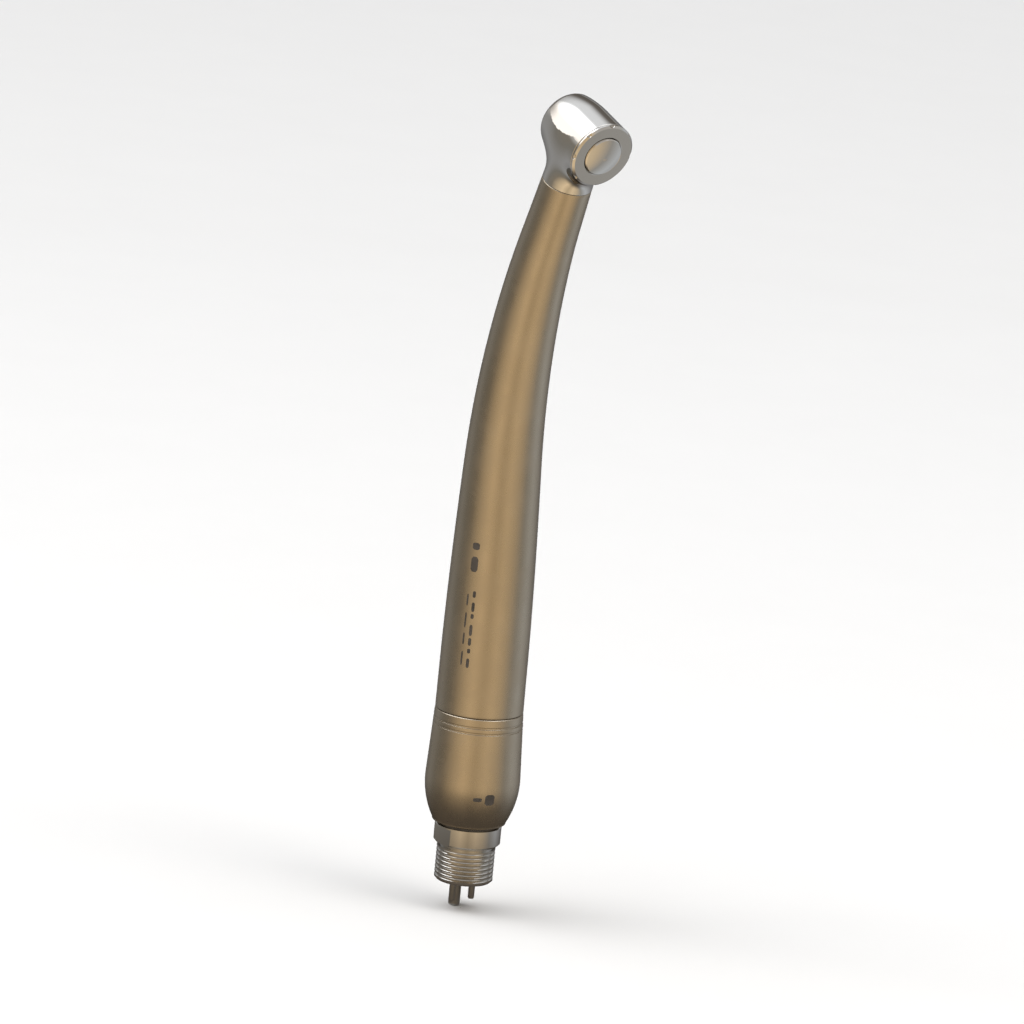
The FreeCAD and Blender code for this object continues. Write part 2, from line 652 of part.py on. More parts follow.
def neck_hole(body, x, v, radius, outer, inner):
    """Cuts a round hole along the neck, between two distances from the head's axis."""
    sketch = new_sketch(body, "XZ_Plane", outer)
    draw_circle(sketch, x, v, radius)
    feature = body.newObject("PartDesign::Pocket", "NeckHole")
    feature.Profile = sketch
    feature.setExpression("Length", bound(f"{outer} - {inner}"))
    return feature


def water_channel(body, x):
    """Thin slanting hole from the neck to the channel behind the spray ring."""
    hole = body.newObject("PartDesign::SubtractiveCylinder", "Channel")
    hole.AttachmentSupport = [(plane(body, "XY_Plane"), "")]
    hole.MapMode = "FlatFace"
    start, end = V(value(x), -6.9, -2.75), V(value(x), -3.55, -5.25)
    turn = FreeCAD.Rotation(V(0, 0, 1), end - start)
    hole.AttachmentOffset = FreeCAD.Placement(start, turn)
    hole.setExpression("AttachmentOffset.Base.x", bound(x))
    hole.Radius = 0.2
    hole.Height = (end - start).Length
    return hole


def make_spray_ring():
    """Ring in the bur face with the water spray's ports."""
    body = new_body("spray_ring", in_head=True)
    spin(body, [
        ("spray_in", "face_z + 0.08"), ("spray_in + 0.08", "face_z"), ("spray_out - 0.08", "face_z"),
        ("spray_out", "face_z + 0.08"), ("spray_out", "spray_z"), ("spray_in", "spray_z"),
    ])
    port = drill(body, "0", "-(spray_in + spray_out) / 2", 0.24, "spray_z + 0.5", "face_z - 0.5")
    around(body, port, SPRAY_PORTS)
    return body


def make_outer_race(label, middle):
    """Outer race of a bearing, with its ball track."""
    body = new_body(label, in_head=True)
    spin(body, ring_outline("shoulder_out", "race_out", middle, "race_w / 2", 0.12))
    ring_cut(body, "ball_at", middle, "track_r")
    return body


def make_inner_race(label, middle):
    """Inner race of a bearing, with its ball track."""
    body = new_body(label, in_head=True)
    spin(body, ring_outline("race_in", "shoulder_in", middle, "race_w / 2", 0.08))
    ring_cut(body, "ball_at", middle, "track_r")
    return body


def ring_outline(inner, outer, middle, half, chamfer):
    """A rectangular section with small chamfers on its outer edges."""
    low, high = f"{middle} - {half}", f"{middle} + {half}"
    return [(inner, low), (f"{outer} - {chamfer}", low), (outer, f"{low} + {chamfer}"),
            (outer, f"{high} - {chamfer}"), (f"{outer} - {chamfer}", high), (inner, high)]


def make_ball_set(label, middle):
    """The balls of a bearing."""
    y, z, tilt = centreline(HEAD_STATION)
    balls = []
    for index in range(BALLS):
        ball = doc.addObject("Part::Sphere", f"{label}_{index}")
        ball.setExpression("Radius", bound("ball_r"))
        turn = 360 * index / BALLS
        ball.setExpression("Placement.Base.x", bound(f"ball_at * cos({turn})"))
        ball.setExpression("Placement.Base.y", bound(f"ball_at * sin({turn})"))
        ball.setExpression("Placement.Base.z", bound(middle))
        balls.append(ball)
    group = doc.addObject("Part::Compound", label)
    group.Links = balls
    group.Label = label
    group.Placement = FreeCAD.Placement(V(0, 0, 0), FreeCAD.Rotation(V(1, 0, 0), 110))
    group.setExpression("Placement.Base.y", bound(y))
    group.setExpression("Placement.Base.z", bound(z))
    group.setExpression("Placement.Rotation.Angle", bound(f"90 + {tilt}"))
    return group


def make_cage(label, middle):
    """Cage that spaces the balls of a bearing."""
    body = new_body(label, in_head=True)
    spin(body, ring_outline("shoulder_in + 0.05", "shoulder_out - 0.05", middle, "0.68", 0.05))
    pocket = cross_drill_radial(body, middle)
    around(body, pocket, BALLS)
    return body


def cross_drill_radial(body, height):
    """Cuts a ball's pocket through the cage's wall on its +X side."""
    sketch = new_sketch(body, "YZ_Plane", "4")
    draw_circle(sketch, "0", height, "track_r + 0.01")
    feature = body.newObject("PartDesign::Pocket", "BallPocket")
    feature.Profile = sketch
    feature.Length = 4
    return feature


def make_shield(label, middle, outward):
    """Thin dust shield in the outer end of a bearing."""
    body = new_body(label, in_head=True)
    edge = f"{middle} {outward} race_w / 2"
    inside = f"{edge} {'-' if outward == '+' else '+'} 0.14"
    spin(body, [("shoulder_in + 0.06", edge), ("shoulder_out - 0.01", edge),
                ("shoulder_out - 0.01", inside), ("shoulder_in + 0.06", inside)])
    return body


def make_bearing_seal(label, middle):
    """Rubber ring between a bearing and its seat."""
    y, z, tilt = centreline(HEAD_STATION)
    ring = doc.addObject("Part::Torus", label)
    ring.Label = label
    ring.setExpression("Radius1", bound("(race_out + seat_r) / 2"))
    ring.setExpression("Radius2", bound("(seat_r - race_out) / 2 - 0.005"))
    ring.Placement = FreeCAD.Placement(V(0, 0, 0), FreeCAD.Rotation(V(1, 0, 0), 110))
    ring.setExpression("Placement.Base.y", bound(f"{y} - ({middle}) * cos({tilt})"))
    ring.setExpression("Placement.Base.z", bound(f"{z} - ({middle}) * sin({tilt})"))
    ring.setExpression("Placement.Rotation.Angle", bound(f"90 + {tilt}"))
    return ring


def make_rear_bearing_holder():
    """Steel cup that seats the rear bearing under the cap."""
    body = new_body("rear_bearing_holder", in_head=True)
    top = "rear_mid + race_w / 2"
    spin(body, [
        ("race_out + 0.1", "rear_mid - race_w / 2 - 0.15"),
        ("chamber_r - 0.05", "rear_mid - race_w / 2 - 0.15"),
        ("chamber_r - 0.05", f"{top} + 0.5"), ("2.3", f"{top} + 0.5"), ("2.3", f"{top} + 0.2"),
        ("seat_r", f"{top} + 0.2"), ("seat_r", "rear_mid - race_w / 2 - 0.02"),
        ("race_out + 0.1", "rear_mid - race_w / 2 - 0.02"),
    ])
    return body


def make_preload_washer():
    """Spring washer that loads the bearings along their axis."""
    body = new_body("preload_washer", in_head=True)
    face = "rear_mid + race_w / 2"
    spin(body, [("shoulder_out", f"{face} + 0.02"), ("race_out - 0.02", f"{face} + 0.02"),
                ("race_out + 0.25", f"{face} + 0.17"), ("shoulder_out", f"{face} + 0.17")])
    return body


def make_head_cap():
    """Screwed cap of the head, with a hole for the button and notches for its key."""
    body = new_body("head_cap", in_head=True)
    spin(body, [
        ("cap_skirt", "cap_thread_z + 0.1"), ("cap_thread_r - 0.04", "cap_thread_z + 0.1"),
        ("cap_thread_r - 0.04", "rim_z + cap_gap"), ("head_r - 0.12", "rim_z + cap_gap"),
        ("head_r", "rim_z + cap_gap + 0.12"), ("head_r", "cap_top - 0.3"), ("head_r - 0.35", "cap_top", ),
        ("cap_hole + 0.15", "cap_top"), ("cap_hole", "cap_top - 0.15"),
        ("cap_hole", "rim_z + cap_gap + 0.05"),
        ("cap_skirt", "rim_z + cap_gap + 0.05"),
    ])
    notch = drill(body, "0", "head_r + 0.28", 0.6, "cap_top + 0.5", "cap_top - 0.42")
    around(body, notch, CAP_NOTCHES)
    return body


def make_push_button():
    """Button that opens the chuck: a low dome, a lip under the cap and a stem over the rotor."""
    body = new_body("push_button", in_head=True)
    lip_top = "rim_z + cap_gap + 0.02"
    spin(body, [
        ("0", "button_z - 0.5"), ("0.8", "button_z - 0.5"), ("0.8", "button_z"), ("button_lip", "button_z"),
        ("button_lip", lip_top), ("button_r", lip_top), ("button_r", "cap_top - 0.62"),
        ("button_r - 0.36", "cap_top - 0.62"), ("button_r - 0.36", "cap_top - 0.12"),
        ("button_r", "cap_top - 0.12"),
        ("button_r", "button_edge - 0.15"), ("button_r - 0.15", "button_edge", ON_AXIS), ("0", "button_top"),
    ])
    return body


def make_button_seal():
    """Rubber ring that keeps spray out around the button."""
    y, z, tilt = centreline(HEAD_STATION)
    middle = "cap_top - 0.37"
    ring = doc.addObject("Part::Torus", "button_seal")
    ring.Label = "button_seal"
    ring.setExpression("Radius1", bound("button_r - 0.17"))
    ring.setExpression("Radius2", "0.18")
    ring.Placement = FreeCAD.Placement(V(0, 0, 0), FreeCAD.Rotation(V(1, 0, 0), 110))
    ring.setExpression("Placement.Base.y", bound(f"{y} - ({middle}) * cos({tilt})"))
    ring.setExpression("Placement.Base.z", bound(f"{z} - ({middle}) * sin({tilt})"))
    ring.setExpression("Placement.Rotation.Angle", bound(f"90 + {tilt}"))
    return ring


def make_button_spring():
    """Conical disc spring under the button's lip that lifts it again."""
    body = new_body("button_spring", in_head=True)
    low = "rear_mid + race_w / 2 + 0.52"
    spin(body, [("2.9", "button_z - 0.16"), ("4.2", low), ("4.2", f"{low} + 0.14"),
                ("2.9", "button_z - 0.02")])
    return body


# ---------------------------------------------------------------- rotor
def make_spindle():
    """Hollow shaft of the turbine."""
    body = new_body("spindle", in_head=True)
    spin(body, [
        ("spindle_bore", "spindle_end"), ("spindle_r - 0.35", "spindle_end"),
        ("spindle_r - 0.12", "spindle_end + 0.25"),
        ("spindle_r - 0.12", "front_mid - race_w / 2 - 0.02"), ("spindle_r", "front_mid - race_w / 2 - 0.02"),
        ("spindle_r", "front_mid + race_w / 2 + 0.02"), ("spindle_r + 0.35", "front_mid + race_w / 2 + 0.02"),
        ("spindle_r + 0.35", "-wheel_half - 0.02"), ("spindle_r", "-wheel_half - 0.02"),
        ("spindle_r", "spindle_top - 0.15"), ("spindle_r - 0.15", "spindle_top"),
        ("spindle_bore", "spindle_top"),
    ])
    return body


def make_impeller():
    """Turbine wheel, with scooped buckets around its rim."""
    body = new_body("impeller", in_head=True)
    spin(body, [
        ("race_in", "-wheel_half"), ("2.5", "-wheel_half"), ("2.5", "-wheel_half + 0.15"),
        ("wheel_r", "-wheel_half + 0.15"), ("wheel_r", "wheel_half - 0.15"), ("2.5", "wheel_half - 0.15"),
        ("2.5", "wheel_half"), ("race_in", "wheel_half"),
    ])
    bucket = drill(body, "0.55", "wheel_r - 0.55", 0.85, "wheel_half + 1", "-wheel_half - 1")
    around(body, bucket, BUCKETS)
    return body


def make_chuck_collet():
    """Sprung chuck that grips the bur's shank, slit from its button end."""
    body = new_body("chuck_collet", in_head=True)
    spin(body, [
        ("bur_r + 0.1", "collet_z"), ("collet_r", "collet_z"), ("collet_r", "collet_top"),
        ("1.0", "collet_top"), ("bur_r", "collet_top - 0.7"), ("bur_r", "collet_z + 0.15"),
    ])
    sketch = new_sketch(body, "XZ_Plane")
    draw_outline(sketch, [("-0.11", "-0.5"), ("0.11", "-0.5"), ("0.11", "collet_top + 1"),
                          ("-0.11", "collet_top + 1")])
    slit = body.newObject("PartDesign::Pocket", "Slit")
    slit.Profile = sketch
    slit.Length = 3
    around(body, slit, CHUCK_SLITS)
    return body


def make_release_pin():
    """Pin in the spindle that the button pushes into the chuck to spread it."""
    body = new_body("release_pin", in_head=True)
    spin(body, [
        ("0", "collet_top - 0.2"), ("0.35", "collet_top - 0.2"), ("0.72", "collet_top + 0.5"),
        ("1.08", "collet_top + 0.65"), ("1.08", "spindle_top + 0.1"), ("0.95", "spindle_top + 0.23"),
        ("0", "spindle_top + 0.23"),
    ])
    return body


# ---------------------------------------------------------------- the assembly
def make_all():
    """Every sub-part, in the order that they go together."""
    nodes = [
        make_coupler_base(),
        make_spigot("drive_air_spigot", "0", "drive_at", "drive_r", "spigot_out"),
        make_spigot("water_spigot", "small_at", "0", "small_r", "small_out"),
        make_spigot("chip_air_spigot", "-small_at", "0", "small_r", "small_out"),
        make_seal_set("journal_seals", "journal_floor + journal_seal_r + 0.01", "journal_seal_r"),
        make_swivel_washer(),
        make_swivel_circlip(),
        make_swivel_nose(),
        make_seal_set("nose_seals", "nose_floor + nose_seal_r + 0.01", "nose_seal_r"),
        make_latch_ring(),
        make_coupling_socket(),
        make_rear_ring(),
        make_handle_shell(),
        make_pipe("drive_air_pipe", "drive_x", "drive_v", "pipe_r", 0.2),
        make_pipe("water_pipe", "water_x", "water_v", "thin_r", 0.15),
        make_pipe("chip_air_pipe", "chip_x", "chip_v", "thin_r", 0.15),
        make_pipe_spacer(),
        make_head_housing(),
        make_spray_ring(),
        make_rear_bearing_holder(),
        make_preload_washer(),
        make_head_cap(),
        make_push_button(),
        make_button_seal(),
        make_button_spring(),
        make_spindle(),
        make_impeller(),
        make_chuck_collet(),
        make_release_pin(),
    ]
    for end, middle, outward in (("front", "front_mid", "-"), ("rear", "rear_mid", "+")):
        nodes += [
            make_outer_race(f"{end}_outer_race", middle),
            make_inner_race(f"{end}_inner_race", middle),
            make_ball_set(f"{end}_balls", middle),
            make_cage(f"{end}_cage", middle),
            make_shield(f"{end}_shield", middle, outward),
            make_bearing_seal(f"{end}_bearing_seal", middle),
        ]
    return nodes


def check_document():
    """Stops on any feature that failed to compute."""
    for feature in doc.Objects:
        if {"Invalid", "Error"} & set(feature.State):
            raise RuntimeError(f"{feature.Name} ({feature.Label}) failed: {feature.State}")


def write_parts(nodes):
    """Checks each sub-part's shape and writes it to its own file."""
    for node in nodes:
        shape = node.Shape
        if shape.isNull() or not shape.isValid() or not shape.Solids or shape.Volume <= 0:
            raise RuntimeError(f"{node.Label} has no valid solid")
    os.makedirs(OUT, exist_ok=True)
    for node in nodes:
        shape = node.Shape
        shape.exportStep(os.path.join(OUT, node.Label + ".step"))
        print(f"{node.Label}: {len(shape.Solids)} solids, {shape.Volume:.3f} mm3")


assembly = make_all()
doc.recompute()
check_document()
write_parts(assembly)
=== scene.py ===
import json
import math

import bpy
import numpy as np
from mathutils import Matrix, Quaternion, Vector


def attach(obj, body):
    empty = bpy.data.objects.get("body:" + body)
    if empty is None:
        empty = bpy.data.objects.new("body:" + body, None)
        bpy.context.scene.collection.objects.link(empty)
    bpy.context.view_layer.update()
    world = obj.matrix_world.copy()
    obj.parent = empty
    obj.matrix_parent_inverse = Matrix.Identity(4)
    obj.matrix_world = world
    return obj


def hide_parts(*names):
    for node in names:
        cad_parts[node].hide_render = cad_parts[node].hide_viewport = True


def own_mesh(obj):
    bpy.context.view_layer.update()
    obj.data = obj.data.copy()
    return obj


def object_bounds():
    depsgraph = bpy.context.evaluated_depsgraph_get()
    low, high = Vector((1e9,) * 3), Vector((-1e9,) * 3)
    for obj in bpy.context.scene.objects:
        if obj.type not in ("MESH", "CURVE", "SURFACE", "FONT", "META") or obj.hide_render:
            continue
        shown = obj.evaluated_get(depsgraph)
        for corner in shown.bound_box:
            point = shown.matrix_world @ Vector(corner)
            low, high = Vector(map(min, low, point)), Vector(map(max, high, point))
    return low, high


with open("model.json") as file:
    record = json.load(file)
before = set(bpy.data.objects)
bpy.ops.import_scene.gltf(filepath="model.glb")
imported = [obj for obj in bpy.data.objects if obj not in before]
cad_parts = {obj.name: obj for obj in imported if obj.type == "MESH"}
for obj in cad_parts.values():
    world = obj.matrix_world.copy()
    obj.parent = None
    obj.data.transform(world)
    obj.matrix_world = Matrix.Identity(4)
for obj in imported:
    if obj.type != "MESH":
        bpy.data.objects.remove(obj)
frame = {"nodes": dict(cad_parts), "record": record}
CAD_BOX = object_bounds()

MM = 0.001

# The row frame's main numbers, in mm, as the CAD has them.
BEND_START, BEND_R, BEND_DEG, NECK_LEN = 72.0, 126.0, 20.0, 17.6
BEND = math.radians(BEND_DEG)
BEND_LEN = BEND_R * BEND
HEAD_STATION = BEND_START + BEND_LEN + NECK_LEN
NECK_JOINT = 9.0
NECK_R = 4.3
SEAM_Z, SEAM_R = 30.0, 7.52
SHELL_WALL = 0.9
RING_BORE, RING_Z = 6.15, 10.5
BULGE_TOP_Z, BULGE_TOP_R = 19.0, 8.1
BULGE_ARC_R, BULGE_ARC_CENTRE_R, BULGE_ARC_CENTRE_Z = 15.0, -6.9, 17.86
RING_GROOVES = (27.35, 28.35)
RING_GROOVE_DEPTH = 0.16
SHELL = [(30.1, 7.5), (45.0, 7.38), (58.0, 7.08), (70.0, 6.66), (82.0, 6.16), (94.0, 5.62), (105.0, 5.1),
         (115.0, 4.62), (HEAD_STATION - NECK_JOINT, NECK_R)]

# The head housing, in its own frame: Z is the rotor's axis towards the button, -Y runs down the neck.
HEAD_R, HEAD_TAPER, HEAD_TAPER_LEN = 5.72, 0.40, 4.2
HEAD_BOTTOM, HEAD_TOP, HEAD_EDGE = 6.0, 5.75, 1.3
NECK_TAPER, NECK_FILLET = 0.022, 3.0
CUT_EDGE = 0.1
NOSE_HOLE_R = 1.75
SEAT_R, SEAT_Z = 4.05, 4.3
CHAMBER_R, CHAMBER_Z = 4.65, 1.75
CAP_THREAD_R, CAP_THREAD_Z = 5.25, 4.2
SPRAY_IN, SPRAY_OUT, SPRAY_Z = 2.28, 3.57, 4.95
NECK_BORE, NECK_BORE_END = 3.4, 6.6
EXHAUST_X, EXHAUST_V, EXHAUST_R = 1.9, 0.6, 1.2
DRIVE_X, DRIVE_V, DRIVE_R = 1.6, 0.9, 0.95
PORT_MIDDLE, PORT_HALF = 5.25, 1.75
HEAD_GRID_LOW, HEAD_GRID_HIGH, HEAD_GRID_STEP = (-6.229, -9.329, -6.429), (6.3, 6.3, 6.2), 0.16

# The disc spring under the button.
SPRING_SEAT_Z, SPRING_TOP_Z, SPRING_THICKNESS = 4.77, 5.34, 0.14
SPRING_IN, SPRING_OUT = 2.9, 4.2

# Laser marks: how far they stand out of the surface and reach into it.
MARK_RISE, MARK_SINK = 0.012, 0.05

# ---------------------------------------------------------------- camera
VIEW_AZ, VIEW_EL, VIEW_ROLL = -36.0, 13.0, 5.5
CAMERA_DISTANCE = 1.25
LENS = 262.0
AIM = Vector((-0.0004, -0.0045, 0.0655))


def camera_back(azimuth, elevation):
    """Direction from the object towards a bearing, in degrees from -Y towards +X, and a height above it."""
    a, e = math.radians(azimuth), math.radians(elevation)
    return Vector((math.sin(a) * math.cos(e), -math.cos(a) * math.cos(e), math.sin(e)))


def make_camera():
    """A long lens, rolled a little, as the handpiece stands slightly aslant in the picture."""
    back = camera_back(VIEW_AZ, VIEW_EL)
    camera = bpy.data.objects.new("camera", bpy.data.cameras.new("camera"))
    camera.data.lens = LENS
    camera.data.clip_start, camera.data.clip_end = 0.01, 30
    camera.location = AIM + back * CAMERA_DISTANCE
    turn = (-back).to_track_quat("-Z", "Y")
    camera.rotation_mode = "QUATERNION"
    camera.rotation_quaternion = Quaternion(back, math.radians(VIEW_ROLL)) @ turn
    bpy.context.scene.collection.objects.link(camera)
    bpy.context.scene.camera = camera


make_camera()


# ---------------------------------------------------------------- geometry helpers
def centreline(station, x, v):
    """Row position in mm of a point beside the centreline: x sideways, v towards the button."""
    tilt = np.clip((station - BEND_START) / BEND_R, 0, BEND)
    past = np.maximum(station - BEND_START - BEND_LEN, 0)
    reach = BEND_R - v
    y = -BEND_R + reach * np.cos(tilt) - past * np.sin(tilt)
    z = np.minimum(station, BEND_START) + reach * np.sin(tilt) + past * np.cos(tilt)
    return np.stack(np.broadcast_arrays(x, y, z), -1)


HEAD = centreline(HEAD_STATION, 0.0, 0.0)
HEAD_Y = np.array([0, -math.sin(BEND), math.cos(BEND)])
HEAD_Z = np.array([0, -math.cos(BEND), -math.sin(BEND)])


def from_head(points):
    """Head frame to row frame, in mm."""
    points = np.asarray(points, float)
    return HEAD + points[..., :1] * np.array([1.0, 0, 0]) + points[..., 1:2] * HEAD_Y + points[..., 2:3] * HEAD_Z


def piece(name, points, faces, body, material, normals=None, sharp=32):
    """A mesh piece from points in mm."""
    mesh = bpy.data.meshes.new(name)
    mesh.from_pydata((np.asarray(points, float) * MM).tolist(), [], faces)
    mesh.validate()
    mesh.shade_smooth()
    if normals is None:
        mesh.set_sharp_from_angle(angle=math.radians(sharp))
    else:
        mesh.normals_split_custom_set_from_vertices(normals.tolist())
    made = bpy.data.objects.new(name, mesh)
    mesh.materials.append(material)
    bpy.context.scene.collection.objects.link(made)
    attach(made, body)
    return made


def tube_faces(rings, around, closed=True):
    """Quads between rings of points; closed joins the last ring to the first."""
    faces = []
    for ring in range(rings if closed else rings - 1):
        here, after = ring * around, (ring + 1) % rings * around
        for spot in range(around):
            ahead = (spot + 1) % around
            faces.append((here + spot, here + ahead, after + ahead, after + spot))
    return faces


def rounded(profile, radius=0.08, steps=4):
    """Rounds every corner of a closed profile of (r, z) points; a third number gives a corner's own radius."""
    out = []
    count = len(profile)
    for index, corner in enumerate(profile):
        here = np.array(corner[:2], float)
        before = np.array(profile[index - 1][:2], float) - here
        after = np.array(profile[(index + 1) % count][:2], float) - here
        size = corner[2] if len(corner) > 2 else radius
        la, lb = np.linalg.norm(before), np.linalg.norm(after)
        a, b = before / la, after / lb
        turn = math.acos(float(np.clip(a @ b, -1, 1)))
        if size <= 0 or turn > math.radians(175) or turn < math.radians(5):
            out.append(here)
            continue
        cut = min(size / math.tan(turn / 2), 0.45 * la, 0.45 * lb)
        size = cut * math.tan(turn / 2)
        middle = here + (a + b) / np.linalg.norm(a + b) * (size / math.sin(turn / 2))
        first, last = here + a * cut - middle, here + b * cut - middle
        swing = math.pi - turn
        for step in range(steps + 1):
            k = step / steps
            spot = (first * math.sin((1 - k) * swing) + last * math.sin(k * swing)) / math.sin(swing)
            out.append(middle + spot)
    return np.array(out)


def lathe(name, profile, body, material, around=160, radius=0.08, in_head=False, sharp=32):
    """Revolves a closed profile about Z."""
    outline = rounded(profile, radius)
    turn = np.linspace(0, 2 * math.pi, around, endpoint=False)
    points = np.stack([outline[:, None, 0] * np.cos(turn), outline[:, None, 0] * np.sin(turn),
                       np.repeat(outline[:, 1:2], around, 1)], -1).reshape(-1, 3)
    area = float(np.sum(outline[:, 0] * np.roll(outline[:, 1], -1) - np.roll(outline[:, 0], -1) * outline[:, 1]))
    faces = tube_faces(len(outline), around)
    if area < 0:
        faces = [face[::-1] for face in faces]
    if in_head:
        points = from_head(points)
    return piece(name, points, faces, body, material, sharp=sharp)


# ---------------------------------------------------------------- materials
def new_material(name, color, metallic, roughness):
    material = bpy.data.materials.new(name)
    material.use_nodes = True
    nodes = material.node_tree.nodes
    shader = nodes["Principled BSDF"]
    shader.inputs["Base Color"].default_value = (*color, 1)
    shader.inputs["Metallic"].default_value = metallic
    shader.inputs["Roughness"].default_value = roughness
    return material, material.node_tree, shader


def noise(tree, scale, stretch=(1, 1, 1), detail=4.0, roughness=0.55, turn=(0, 0, 0)):
    """A noise texture in object space; scale is per metre."""
    coords = tree.nodes.new("ShaderNodeTexCoord")
    mapping = tree.nodes.new("ShaderNodeMapping")
    mapping.inputs["Scale"].default_value = stretch
    mapping.inputs["Rotation"].default_value = turn
    texture = tree.nodes.new("ShaderNodeTexNoise")
    texture.inputs["Scale"].default_value = scale
    texture.inputs["Detail"].default_value = detail
    texture.inputs["Roughness"].default_value = roughness
    tree.links.new(coords.outputs["Object"], mapping.inputs["Vector"])
    tree.links.new(mapping.outputs["Vector"], texture.inputs["Vector"])
    return texture.outputs["Fac"]


def ramp_linear(tree, source, low, high):
    """Maps low to high onto 0 to 1 in a straight line."""
    node = tree.nodes.new("ShaderNodeMapRange")
    node.inputs["From Min"].default_value = low
    node.inputs["From Max"].default_value = high
    tree.links.new(source, node.inputs["Value"])
    return node.outputs["Result"]


def ramp(tree, source, low, high, out_low, out_high):
    """Maps low to high onto out_low to out_high with eased ends."""
    node = tree.nodes.new("ShaderNodeMapRange")
    node.interpolation_type = "SMOOTHSTEP"
    node.inputs["From Min"].default_value = low
    node.inputs["From Max"].default_value = high
    node.inputs["To Min"].default_value = out_low
    node.inputs["To Max"].default_value = out_high
    tree.links.new(source, node.inputs["Value"])
    return node.outputs["Result"]


def math_node(tree, kind, a, b):
    node = tree.nodes.new("ShaderNodeMath")
    node.operation = kind
    for index, item in enumerate((a, b)):
        if isinstance(item, (int, float)):
            node.inputs[index].default_value = item
        else:
            tree.links.new(item, node.inputs[index])
    return node.outputs[0]


def mix_color(tree, fac, a, b):
    """Mixes two colours; each may be a value or another node's output."""
    node = tree.nodes.new("ShaderNodeMix")
    node.data_type = "RGBA"
    for socket, item in ((node.inputs[0], fac), (node.inputs[6], a), (node.inputs[7], b)):
        if isinstance(item, tuple):
            socket.default_value = (*item, 1)
        else:
            tree.links.new(item, socket)
    return node.outputs[2]


def bump(tree, shader, height, strength, distance):
    node = tree.nodes.new("ShaderNodeBump")
    node.inputs["Strength"].default_value = strength
    node.inputs["Distance"].default_value = distance
    tree.links.new(height, node.inputs["Height"])
    tree.links.new(node.outputs["Normal"], shader.inputs["Normal"])


def metal(name, color, dark, rough, spread, grain, stretch, strength, scratch=0.5):
    """Metal with colour cloud, smudges, fine grain and hair scratches."""
    material, tree, shader = new_material(name, color, 1.0, rough)
    cloud = noise(tree, 90, detail=5)
    smudge = noise(tree, 260, detail=6, roughness=0.65)
    fine = noise(tree, grain, stretch, detail=3)
    hair = noise(tree, 900, (1, 1, 0.02), detail=2, turn=(0.35, 0.2, 0))
    cross = noise(tree, 1100, (1, 0.03, 1), detail=2, turn=(0.1, 0.5, 0.7))
    lines = math_node(tree, "ADD", ramp(tree, hair, 0.66, 0.72, 0, 1), ramp(tree, cross, 0.67, 0.73, 0, 1))
    tree.links.new(mix_color(tree, ramp(tree, cloud, 0.3, 0.7, 0, 1), color, dark), shader.inputs["Base Color"])
    level = math_node(tree, "ADD", ramp(tree, smudge, 0.35, 0.7, rough - spread, rough + spread),
                      math_node(tree, "MULTIPLY", fine, spread * 0.6))
    level = math_node(tree, "ADD", level, math_node(tree, "MULTIPLY", lines, 0.10 * scratch))
    tree.links.new(level, shader.inputs["Roughness"])
    height = math_node(tree, "SUBTRACT", fine, math_node(tree, "MULTIPLY", lines, 0.5 * scratch))
    bump(tree, shader, height, strength, 0.00002)
    return material, tree, shader


def soft(name, color, dark, rough, scale, strength):
    """Rubber or plastic with a moulded grain and faint colour change."""
    material, tree, shader = new_material(name, color, 0.0, rough)
    cloud = noise(tree, 300, detail=4)
    fine = noise(tree, scale, detail=3)
    tree.links.new(mix_color(tree, ramp(tree, cloud, 0.3, 0.7, 0, 1), color, dark), shader.inputs["Base Color"])
    tree.links.new(ramp(tree, fine, 0.2, 0.8, rough - 0.08, rough + 0.08), shader.inputs["Roughness"])
    bump(tree, shader, fine, strength, 0.00003)
    return material


SATIN, _, satin_shader = metal("satin_metal", (0.60, 0.53, 0.43), (0.56, 0.49, 0.39), 0.27, 0.05,
                               7000, (1, 1, 0.3), 0.16)
satin_shader.inputs["Specular Tint"].default_value = (0.45, 0.45, 0.45, 1)
CHROME, _, chrome_shader = metal("polished_chrome", (0.84, 0.82, 0.79), (0.82, 0.80, 0.76), 0.065, 0.03,
                                 3000, (1, 1, 1), 0.012, scratch=0.35)
chrome_shader.inputs["Specular Tint"].default_value = (0.5, 0.5, 0.5, 1)
STEEL = metal("turned_steel", (0.60, 0.59, 0.57), (0.52, 0.51, 0.49), 0.30, 0.07, 7000, (0.3, 0.3, 1), 0.3)[0]
HARD = metal("ground_steel", (0.66, 0.66, 0.67), (0.60, 0.60, 0.61), 0.16, 0.05, 8000, (0.4, 0.4, 1), 0.15)[0]
NICKEL = metal("nickel_brass", (0.70, 0.64, 0.52), (0.62, 0.55, 0.42), 0.22, 0.06, 6000, (0.3, 0.3, 1), 0.2)[0]
ALLOY = metal("wheel_alloy", (0.74, 0.75, 0.77), (0.66, 0.67, 0.69), 0.34, 0.06, 9000, (1, 1, 1), 0.3)[0]
RUBBER = soft("seal_rubber", (0.022, 0.022, 0.024), (0.035, 0.034, 0.032), 0.55, 9000, 0.3)
CAGE = soft("cage_resin", (0.28, 0.13, 0.045), (0.22, 0.10, 0.03), 0.5, 7000, 0.3)
PLASTIC = soft("white_plastic", (0.80, 0.79, 0.75), (0.74, 0.73, 0.69), 0.42, 8000, 0.2)
MARK = soft("laser_mark", (0.045, 0.038, 0.032), (0.075, 0.062, 0.05), 0.5, 9000, 0.2)
SLOT_MATERIALS = {
    "satin_steel": SATIN, "polished_chrome": CHROME, "nickel_brass": NICKEL, "bare_steel": STEEL,
    "hard_steel": HARD, "wheel_alloy": ALLOY, "seal_rubber": RUBBER, "cage_resin": CAGE, "white_plastic": PLASTIC,
}
